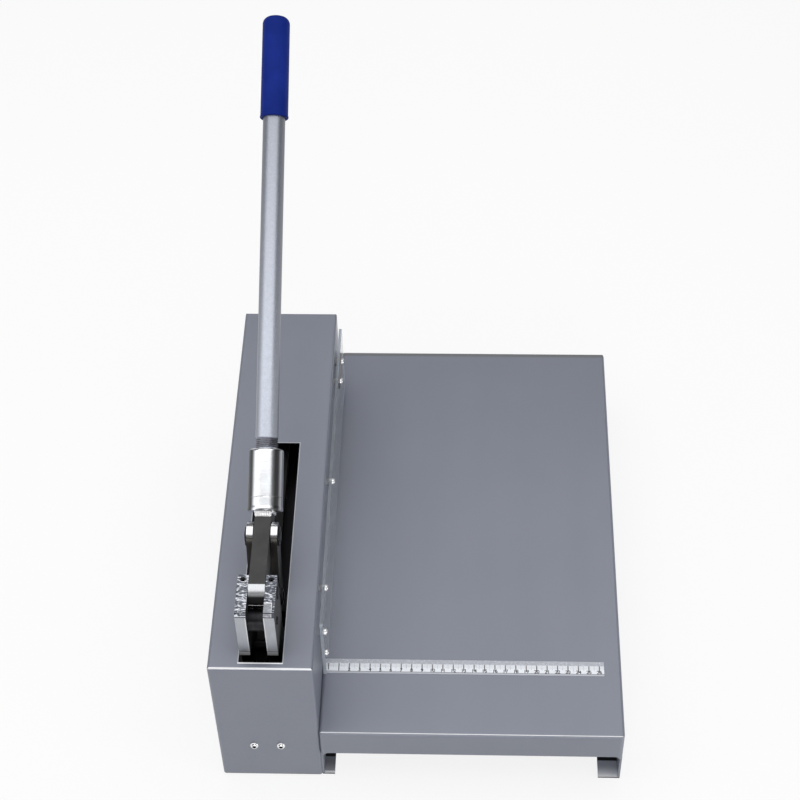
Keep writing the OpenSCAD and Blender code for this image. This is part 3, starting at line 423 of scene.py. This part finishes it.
def repeated(shape, moves):
    """One bmesh with a copy of the shape for each move."""
    pattern = bpy.data.meshes.new("pattern")
    shape.to_mesh(pattern)
    shape.free()
    bm = bmesh.new()
    for move in moves:
        copy = pattern.copy()
        copy.transform(move)
        bm.from_mesh(copy)
        bpy.data.meshes.remove(copy)
    bpy.data.meshes.remove(pattern)
    return bm


screws_low, screws_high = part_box("cover_screws")
head_radius = (screws_high.z - screws_low.z) / 2
front_face, back_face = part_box("cover")[0].y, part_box("cover")[1].y
screw_xs = (screws_low.x + head_radius, screws_high.x - head_radius)
screw_z = (screws_low.z + screws_high.z) / 2
to_front = Matrix.Rotation(math.pi / 2, 4, "X")
to_back = Matrix.Rotation(-math.pi / 2, 4, "X")
screw_moves = [Matrix.Translation((x, y, screw_z)) @ turn
               for x in screw_xs for y, turn in ((front_face, to_front), (back_face, to_back))]
screw = button_screw(head=head_radius, height=front_face - screws_low.y, key=0.0036,
                     shank=0.0025, length=0.0155)
cover_screws = new_piece("cover_button_screws", repeated(screw, screw_moves), bright_zinc)
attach(cover_screws, "frame")
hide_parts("cover_screws")

# The ruler is a thin strip riveted to the table. A grey speckled band lies along its back edge, and
# a white band carries millimetre lines and plain centimetre numbers above a pale border.
ruler_low, ruler_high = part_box("ruler")
zero_inset, last_centimetre = 0.0015, 26
white_from, white_to = 0.005, 0.014
ruler_zero = ruler_low.x + zero_inset
ink_black = (0.02, 0.021, 0.026, 1)
printed_strip = Finish("printed_strip", Coat_Weight=0.3)
place = printed_strip.place
along = place.part("X") - ruler_zero
across = ruler_high.y - place.part("Y")


def ticks(pitch, width, length):
    """Lines across the white band every pitch metres."""
    steps = along / pitch + 0.5
    line = abs(steps.math("FRACT", steps) - 0.5) < width / pitch / 2
    return line * (across < white_from + length) * (1 - (across < white_from))


marks = 0.6 * ticks(pitch=0.001, width=0.00024, length=0.004)
marks = marks.either(0.8 * ticks(pitch=0.005, width=0.0003, length=0.005))
marks = marks.either(ticks(pitch=0.01, width=0.001, length=0.0075))
marks = marks.either(across.line(white_to, 0.0003))
speckle = place.noise(1100, 2).rise(0.5, 0.68)
dust = place.noise(300, 3)
back_band = speckle.mix((0.42, 0.435, 0.49, 1), (0.7, 0.72, 0.79, 1))
white_band = dust.rise(0.5, 0.9).mix((0.9, 0.93, 0.99, 1), (0.7, 0.72, 0.78, 1))
bands = across.rise(white_from - 0.0002, white_from).mix(back_band, white_band)
bands = across.rise(white_to, white_to + 0.0003).mix(bands, (0.52, 0.54, 0.6, 1))
printed_strip.feed("Base Color", (marks * 0.9).mix(bands, ink_black))
printed_strip.feed("Roughness", 0.3 + 0.2 * dust)
printed_strip.dress("ruler", "ruler_rivets")

print_ink = Finish("print_ink")
faded = print_ink.place.noise(900, 2)
print_ink.feed("Base Color", faded.rise(0.4, 0.9).mix(ink_black, (0.08, 0.08, 0.09, 1)))
print_ink.feed("Roughness", 0.45 + 0.2 * faded)
numbers = bmesh.new()
numbers_y, numbers_z = ruler_high.y - white_to + 0.0003, ruler_high.z + 0.00003
for centimetre in range(1, last_centimetre + 1):
    digits = bpy.data.curves.new("digits", "FONT")
    digits.body = str(centimetre)
    digits.size = 0.0052
    digits.extrude = 0.00002
    digits.offset = 0.00008
    digits.align_x = "CENTER"
    holder = bpy.data.objects.new("digits", digits)
    bpy.context.scene.collection.objects.link(holder)
    outlined = holder.evaluated_get(bpy.context.evaluated_depsgraph_get())
    mesh = bpy.data.meshes.new_from_object(outlined)
    mesh.transform(Matrix.Translation((ruler_zero + 0.01 * centimetre, numbers_y, numbers_z)))
    numbers.from_mesh(mesh)
    bpy.data.objects.remove(holder)
    bpy.data.meshes.remove(mesh)
    bpy.data.curves.remove(digits)
ruler_numbers = new_piece("ruler_numbers", numbers, print_ink)
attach(ruler_numbers, "frame")

# The guard is a sheet of clear acrylic on grey nylon spacers, so that fingers can't reach the
# blade. It is slightly hazy, and its sawn edges catch a little light, most at its two ends.
back_end_from, back_end_to = 0.166, 0.18
clear_guard = Finish("clear_guard", IOR=1.49, Transmission_Weight=1.0)
place, facing = clear_guard.place, clear_guard.facing
haze = place.noise(25, 3)
broad = abs(facing.part("X")).rise(0.5, 0.9)
sheet_tint = (broad * (1 - 0.1 * haze)).mix((0.7, 0.74, 0.76, 1), (0.98, 0.995, 1.0, 1))
clear_guard.feed("Base Color", sheet_tint)
clear_guard.feed("Roughness", 0.35 - 0.33 * broad + 0.05 * haze)
back_end = place.part("Y").rise(back_end_from, back_end_to)
frosted = (0.08 + 0.56 * back_end) * abs(facing.part("Z")).rise(0.5, 0.9)
frosted = frosted + 0.3 * facing.part("Y").rise(0.5, 0.9)
frosted = frosted + 0.72 * (-facing.part("Y")).rise(0.4, 0.8)
frosted = frosted + 0.1 * broad * (0.4 + haze)
tone = Tone(clear_guard.tree)
sawn_tone = {"Base Color": (0.5, 0.55, 0.62, 1), "Roughness": 0.5}
sawn_rim = tone.node("ShaderNodeBsdfPrincipled", {}, sawn_tone)
sheet = Tone(clear_guard.tree, clear_guard.shader.outputs[0])
sheet = tone.node("ShaderNodeMixShader", {}, {0: frosted, 1: sheet, 2: sawn_rim})
lamp_ray = tone.node("ShaderNodeLightPath", {}, {}, "Is Shadow Ray")
clear = tone.node("ShaderNodeBsdfTransparent", {}, {"Color": (0.98, 0.99, 0.99, 1)})
clear_guard.show(tone.node("ShaderNodeMixShader", {}, {0: lamp_ray, 1: sheet, 2: clear}))
clear_guard.dress("guard")

spacer_nylon = Finish("spacer_nylon")
milky = spacer_nylon.place.noise(400, 2)
spacer_nylon.feed("Base Color", milky.mix((0.2, 0.205, 0.215, 1), (0.27, 0.275, 0.285, 1)))
spacer_nylon.feed("Roughness", 0.4 + 0.15 * milky)
spacer_nylon.dress("guard_spacers")

# Six small button-head screws of bright zinc-plated stock hold the guard. The two at the back go
# through a little strap of plain brushed steel.
strap_steel = Finish("strap_steel", Metallic=0.9)
brushed = strap_steel.place.noise(900, 2, (1, 0.05, 1))
strap_steel.feed("Base Color", brushed.mix((0.2, 0.19, 0.2, 1), (0.34, 0.33, 0.34, 1)))
strap_steel.feed("Roughness", 0.34 + 0.16 * brushed)
strap_steel.feed("Normal", brushed.bump(0.1, 0.0001))
strap_steel.dress("guard_strap")
strap_low, strap_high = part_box("guard_strap")
guard_low, guard_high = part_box("guard")
row_z = (strap_low.z + strap_high.z) / 2
row_ys, strap_ys = (0.048, 0.1755), (0.3075, 0.3345)
front_yzs = ((0.0155, 0.051), (0.012, 0.0215))
guard_seats = [(guard_high.x, guard_low.y + y, row_z) for y in row_ys]
guard_seats += [(guard_high.x, guard_low.y + y, guard_low.z + z) for y, z in front_yzs]
guard_seats += [(strap_high.x, guard_low.y + y, row_z) for y in strap_ys]
to_right = Matrix.Rotation(math.pi / 2, 4, "Y")
screw_moves = [Matrix.Translation(seat) @ to_right for seat in guard_seats]
screw = button_screw(head=0.0035, height=0.0024, key=0.0025, shank=0.00198, length=0.0095)
guard_screws = new_piece("guard_button_screws", repeated(screw, screw_moves), bright_zinc)
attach(guard_screws, "frame")
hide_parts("guard_screws")

# The two links are flat bars with a dark, oily skin, hung on a pin through the lever's arm. Their
# upper ends are milled round and polished, and flash white where the light above is mirrored.
link_top = Vector(next(j for j in frame["joints"] if j["name"] == "link_swing")["pos_m"])
polished_link = Finish("polished_link", Metallic=1.0)
place, facing = polished_link.place, polished_link.facing
oil = place.noise(70, 4)
milled = place.part("Z").rise(link_top.z + 0.009, link_top.z + 0.0105)
milled = milled * (1 - abs(facing.part("X")).rise(0.4, 0.8))
oily_skin = oil.mix((0.03, 0.029, 0.027, 1), (0.09, 0.085, 0.08, 1))
polished_link.feed("Base Color", milled.mix(oily_skin, (0.74, 0.74, 0.75, 1)))
polished_link.feed("Roughness", 0.3 + 0.12 * oil - 0.16 * milled)
scratches = place.noise(1200, 2, (1, 0.08, 0.3)) * (1 - milled)
polished_link.feed("Normal", scratches.bump(0.06, 0.0001))
polished_link.dress("left_link", "right_link")

# The lever's arm is flame-cut bar with a dark skin, draw-filed along its top. Its eye works between
# the ears: the top is turned bright, a white line painted across the nose is a painted highlight,
# and the eye's front below the turned top is painted near-black as a painted reflection of dark
# surroundings.
arm_steel = Finish("arm_steel")
place = arm_steel.place
smoke = place.noise(70, 4)
filed = place.noise(1200, 2, (1, 0.06, 0.06))
turned_eye = 1 - place.part("Y").rise(fulcrum.y - 0.0006, fulcrum.y + 0.0002)
turned_eye = turned_eye * place.part("Z").rise(fulcrum.z + 0.0075, fulcrum.z + 0.0122)
dark_skin_and_reflection = smoke.mix((0.048, 0.048, 0.048, 1), (0.085, 0.084, 0.083, 1))
# The eye's front below the turned top is painted near-black: a painted reflection of dark
# surroundings.
dark_reflection_under_eye = 1 - place.part("Y").rise(fulcrum.y - 0.008, fulcrum.y - 0.005)
dark_skin_and_reflection = dark_reflection_under_eye.mix(dark_skin_and_reflection, (0.012, 0.012, 0.013, 1))
# A white line across the nose: a painted highlight, not metallic.
nose_highlight = place.part("Z").line(fulcrum.z - 0.0006, 0.0006)
nose_highlight = nose_highlight * (1 - place.part("Y").rise(fulcrum.y - 0.0126, fulcrum.y - 0.0118))
bright = turned_eye.either(nose_highlight)
bright_tone = nose_highlight.mix((0.6, 0.615, 0.635, 1), (0.95, 0.95, 0.96, 1))
arm_steel.feed("Base Color", bright.mix(dark_skin_and_reflection, bright_tone))
arm_steel.feed("Metallic", 0.85 - 0.85 * nose_highlight)
arm_steel.feed("Roughness", 0.42 + 0.14 * filed - 0.2 * turned_eye)
arm_steel.feed("Normal", (filed * (1 - turned_eye)).bump(0.12, 0.0001))
arm_steel.dress("lever_arm")

# The socket is turned from bright bar, with lathe marks round it, a rounded mouth and a small lip
# at its foot. Its flanks are painted dark as painted shade, lightening again at the right edge as a
# painted reflection. A bright weld joins it to the arm, across the top and down each side.
handle_slope = math.radians(33)
handle_along = Vector((0, math.cos(handle_slope), math.sin(handle_slope)))
handle_up = Vector((0, -math.sin(handle_slope), math.cos(handle_slope)))
socket_length, socket_bore, bore_end = 0.058, 0.0096, 0.04
socket_low, socket_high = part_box("lever_socket")
socket_radius = (socket_high.x - socket_low.x) / 2
wall, groove = socket_radius - 0.0003, 0.0128
socket_foot = (socket_low + socket_high) / 2 - handle_along * socket_length / 2
upright_turn = (math.pi / 2 - handle_slope, 0, 0)
turned_socket = Finish("turned_socket", Metallic=1.0)
place = turned_socket.place
lathe = place.noise(1500, 2, (0.02, 0.02, 1), upright_turn)
stain = place.noise(60, 4)
# Painted shade on the socket's flanks: dark on the left and right, lightening again at the right
# edge as a painted reflection.
sideways = turned_socket.facing.part("X")
left_flank_shade = (-sideways).rise(0.48, 0.78)
right_flank_shade = sideways.rise(0.26, 0.62) * (1 - 0.6 * sideways.rise(0.74, 0.95))
flank_shade = (0.96 * left_flank_shade).either(0.97 * right_flank_shade)
polish = stain.rise(0.35, 0.8).mix((0.83, 0.85, 0.88, 1), (0.72, 0.73, 0.75, 1))
turned_socket.feed("Base Color", flank_shade.mix(polish, (0.03, 0.03, 0.033, 1)))
turned_socket.feed("Roughness", 0.16 + 0.1 * lathe + 0.06 * stain + 0.16 * flank_shade)
turned_socket.feed("Normal", lathe.bump(0.1, 0.0001))
turned = spun([(0, 0), (socket_radius - 0.0009, 0), (socket_radius - 0.0002, 0.0003),
               (socket_radius, 0.001), (socket_radius, 0.0034), (wall, 0.0042), (wall, 0.005),
               (wall, groove - 0.0006), (wall, groove - 0.0002), (wall - 0.00012, groove),
               (wall, groove + 0.0002), (wall, groove + 0.0006), (wall, 0.055), (wall, 0.0558),
               (socket_radius - 0.0006, 0.0568), (socket_radius - 0.0014, 0.0577),
               (socket_radius - 0.0024, socket_length), (socket_bore + 0.0008, socket_length),
               (socket_bore, socket_length - 0.0008), (socket_bore, bore_end), (0, bore_end)],
              steps=72)
bmesh.ops.remove_doubles(turned, verts=turned.verts, dist=0.00001)
bmesh.ops.recalc_face_normals(turned, faces=turned.faces)
on_handle = Matrix.Translation(socket_foot) @ Matrix.Rotation(handle_slope - math.pi / 2, 4, "X")
turned.transform(on_handle)
socket_body = new_piece("socket_body", turned, turned_socket)
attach(socket_body, "lever")
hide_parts("lever_socket")

arm_low, arm_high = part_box("lever_arm")
top_beads, top_inset = 7, 0.0012
side_beads, side_start, side_pitch, side_sink = 9, -0.0135, 0.0031, 0.0006
top_bead = Matrix.Diagonal((0.0017, 0.0034, 0.0019, 1))
side_bead = Matrix.Diagonal((0.0016, 0.0021, 0.0021, 1))
weld_bright = Finish("weld_bright", Metallic=0.7)
spatter = weld_bright.place.noise(500, 3)
weld_tone = spatter.rise(0.4, 0.85).mix((0.9, 0.9, 0.91, 1), (0.5, 0.5, 0.5, 1))
weld_bright.feed("Base Color", weld_tone)
weld_bright.feed("Roughness", 0.24 + 0.16 * spatter)
weld_bright.feed("Normal", spatter.bump(0.3, 0.0003))
ripple = bmesh.new()
bmesh.ops.create_icosphere(ripple, subdivisions=3, radius=1)
bead_moves = []
top_y, top_z = fulcrum.y + 0.079, arm_high.z - 0.0002
for i in range(top_beads):
    x = arm_low.x + top_inset + i * (arm_high.x - arm_low.x - 2 * top_inset) / (top_beads - 1)
    bead_moves.append(Matrix.Translation((x, top_y, top_z)) @ top_bead)
for x in (arm_low.x, arm_high.x):
    for i in range(side_beads):
        at = socket_foot + handle_up * (side_start + side_pitch * i) - handle_along * side_sink
        bead_moves.append(Matrix.Translation((x, at.y, at.z)) @ side_bead)
weld = new_piece("socket_weld", repeated(ripple, bead_moves), weld_bright)
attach(weld, "lever")

# The handle is zinc-plated pipe, dull and finely spangled, with painted shade along its flanks and
# towards its upper end. Its lower end is threaded and screwed into the socket, and a few turns of
# the thread show.
zinc_pipe = Finish("zinc_pipe", Metallic=0.85)
place = zinc_pipe.place
spangle = place.noise(260, 3)
drag = place.noise(900, 2, (1, 1, 0.03), upright_turn)
zinc = (spangle * 0.4 + drag * 0.6).rise(0.3, 0.75)
zinc = zinc.mix((0.53, 0.56, 0.645, 1), (0.63, 0.665, 0.75, 1))
pipe_foot, pipe_end = socket_high.z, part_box("lever_pipe")[1].z
# Painted shade: the pipe is painted darker towards its upper end and along its flanks.
painted_shade = 1 - 0.56 * place.part("Z").rise(pipe_foot, pipe_end)
painted_shade = painted_shade * (1 - 0.62 * abs(zinc_pipe.facing.part("X")).rise(0.35, 0.9))
zinc_pipe.feed("Base Color", painted_shade.mix((0.1, 0.105, 0.12, 1), zinc))
zinc_pipe.feed("Roughness", 0.34 + 0.06 * spangle + 0.08 * drag)
zinc_pipe.feed("Normal", (spangle * 0.3 + drag).bump(0.08, 0.0001))
zinc_pipe.dress("lever_pipe")

thread_pitch, thread_turns, thread_sides = 0.00181, 5.5, 36
thread_root, thread_crest = 0.0095, 0.0107
cut_thread = Finish("cut_thread", Metallic=0.9)
grime = cut_thread.place.noise(400, 3)
cut_metal = grime.mix((0.15, 0.152, 0.18, 1), (0.42, 0.425, 0.48, 1))
shaded = 0.8 * cut_thread.facing.part("X").rise(0.1, 0.6)
cut_thread.feed("Base Color", shaded.mix(cut_metal, (0.04, 0.04, 0.05, 1)))
cut_thread.feed("Roughness", 0.34 + 0.2 * grime)
thread = bmesh.new()
ridge_shape = ((thread_root, -0.5), (thread_crest, -0.14), (thread_crest, 0.14), (thread_root, 0.5))
points = [thread.verts.new((radius, 0, z * thread_pitch)) for radius, z in ridge_shape]
ridge = points + [thread.edges.new(pair) for pair in zip(points, points[1:])]
thread_steps = int(thread_sides * thread_turns)
bmesh.ops.spin(thread, geom=ridge, axis=(0, 0, 1), cent=(0, 0, 0), steps=thread_steps,
               angle=2 * math.pi * thread_turns,
               dvec=(0, 0, thread_pitch * thread_turns / thread_steps))
bmesh.ops.recalc_face_normals(thread, faces=thread.faces)
thread.transform(on_handle @ Matrix.Translation((0, 0, socket_length + 0.5 * thread_pitch)))
pipe_thread = new_piece("pipe_thread", thread, cut_thread, crease=0.4)
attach(pipe_thread, "lever")

# The grip is a dipped vinyl sleeve pushed over the end of the pipe, with a rolled rim at its mouth
# and a domed end. Its skin is satin with a very fine pebble.
grip_start, grip_length, pipe_radius = 0.376, 0.1, 0.01065
grip_mouth, grip_tip, grip_round, round_steps = 0.0136, 0.0131, 0.007, 6
grip_bore, grip_rim = pipe_radius + 0.0001, grip_mouth + 0.0001
blue_vinyl = Finish("blue_vinyl", Specular_IOR_Level=0.08)
place = blue_vinyl.place
pebble = place.noise(1400, 2)
dull = place.noise(45, 3)
vinyl = dull.rise(0.3, 0.7).mix((0.004, 0.017, 0.172, 1), (0.007, 0.023, 0.215, 1))
blue_vinyl.feed("Base Color", vinyl)
blue_vinyl.feed("Roughness", 0.46 + 0.12 * pebble + 0.08 * dull)
blue_vinyl.feed("Normal", pebble.bump(0.1, 0.0001))
outline = [(grip_bore, 0.02), (grip_bore, 0.0006), (pipe_radius + 0.0006, 0.0001),
           (grip_mouth - 0.0004, 0), (grip_rim, 0.0006), (grip_rim, 0.0016),
           (grip_mouth - 0.0003, 0.0024), (grip_tip, grip_length - grip_round)]
for i in range(1, round_steps + 1):
    bend_angle = i * math.pi / (2 * round_steps)
    outline.append((grip_tip - grip_round * (1 - math.cos(bend_angle)),
                    grip_length - grip_round * (1 - math.sin(bend_angle))))
outline.append((0, grip_length))
sleeve = spun(outline, steps=56)
bmesh.ops.remove_doubles(sleeve, verts=sleeve.verts, dist=0.00001)
bmesh.ops.recalc_face_normals(sleeve, faces=sleeve.faces)
sleeve.transform(on_handle @ Matrix.Translation((0, 0, grip_start)))
grip = new_piece("vinyl_grip", sleeve, blue_vinyl)
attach(grip, "lever")
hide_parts("lever_grip")

# A plain pale floor, a dim studio with a pale horizon, and four softboxes: a large one above, one
# on the left, and two smaller ones in front and on the right.
floor_reach, floor_level, paper_glow = 40, -0.0003, 0.84
horizon_light, dimming = 0.55, 0.45
floor_sheet = bmesh.new()
bmesh.ops.create_grid(floor_sheet, x_segments=1, y_segments=1, size=floor_reach)
bmesh.ops.translate(floor_sheet, verts=floor_sheet.verts, vec=(0, 0, floor_level))
floor_white = Finish("floor_white", Roughness=0.9)
tone = Tone(floor_white.tree)
seen = tone.node("ShaderNodeLightPath", {}, {}, "Is Camera Ray")
for ray in ("Is Glossy Ray", "Is Transmission Ray"):
    seen = seen.either(tone.node("ShaderNodeLightPath", {}, {}, ray))
floor_white.feed("Base Color", seen.mix((0.5, 0.5, 0.5, 1), (0.95, 0.95, 0.95, 1)))
white = tone.node("ShaderNodeEmission", {}, {"Color": (1, 1, 1, 1), "Strength": 1.0})
paper = Tone(floor_white.tree, floor_white.shader.outputs[0])
floor_white.show(tone.node("ShaderNodeMixShader", {}, {0: paper_glow * seen, 1: paper, 2: white}))
floor = new_piece("floor", floor_sheet, floor_white)

world = bpy.data.worlds.new("studio")
world.use_nodes = True
bpy.context.scene.world = world
height = Tone(world.node_tree).node("ShaderNodeTexCoord", {}, {}, "Generated").part("Z")
backdrop = world.node_tree.nodes["Background"]
backdrop.inputs["Color"].default_value = (1, 1, 1, 1)
glow = horizon_light - dimming * height.rise(0.08, 0.3)
world.node_tree.links.new(glow.socket, backdrop.inputs["Strength"])


def softbox(name, at, aim, width, depth, watts):
    """A rectangular softbox that looks at a point."""
    lamp = bpy.data.lights.new(name, "AREA")
    lamp.shape = "RECTANGLE"
    lamp.size, lamp.size_y = width, depth
    lamp.energy = watts
    box = bpy.data.objects.new(name, lamp)
    box.location = at
    box.rotation_euler = (Vector(aim) - Vector(at)).to_track_quat("-Z", "Y").to_euler()
    box.visible_camera = False
    bpy.context.scene.collection.objects.link(box)


softbox("top_softbox", (0.0, 0.3, 1.75), (0.0, 0.3, 0), width=3.0, depth=2.5, watts=33.5)
softbox("left_softbox", (-1.7, -0.35, 0.95), (0, -0.1, 0.25), width=1.0, depth=1.7, watts=7)
softbox("right_softbox", (2.2, -0.9, 0.6), (0.1, 0, 0.15), width=0.9, depth=0.9, watts=9)
softbox("front_softbox", (0.3, -2.3, 1.1), (0.1, 0, 0.1), width=1.4, depth=0.8, watts=16)

# The camera stands in front of the machine, a little to its right, and looks down at it. Its place
# and its lens were fitted to the straight edges of the cover and the table in the photograph.
photo_width = 800
focal_pixels = 1931.5
heading_angle, tilt_angle, roll_angle = 2.809, 90 - 48.883, -1.625
lens = bpy.data.cameras.new("camera")
lens.sensor_width = 36
lens.lens = lens.sensor_width * focal_pixels / photo_width
viewer = bpy.data.objects.new("camera", lens)
viewer.location = (0.18014, -1.17554, 1.64864)
camera_turns = ((heading_angle, "Z"), (tilt_angle, "X"), (roll_angle, "Z"))
heading, tilt, roll = [Matrix.Rotation(math.radians(angle), 3, axis)
                       for angle, axis in camera_turns]
viewer.rotation_euler = (heading @ tilt @ roll).to_euler()
bpy.context.scene.collection.objects.link(viewer)
bpy.context.scene.camera = viewer
bpy.context.scene.view_settings.view_transform = "Standard"
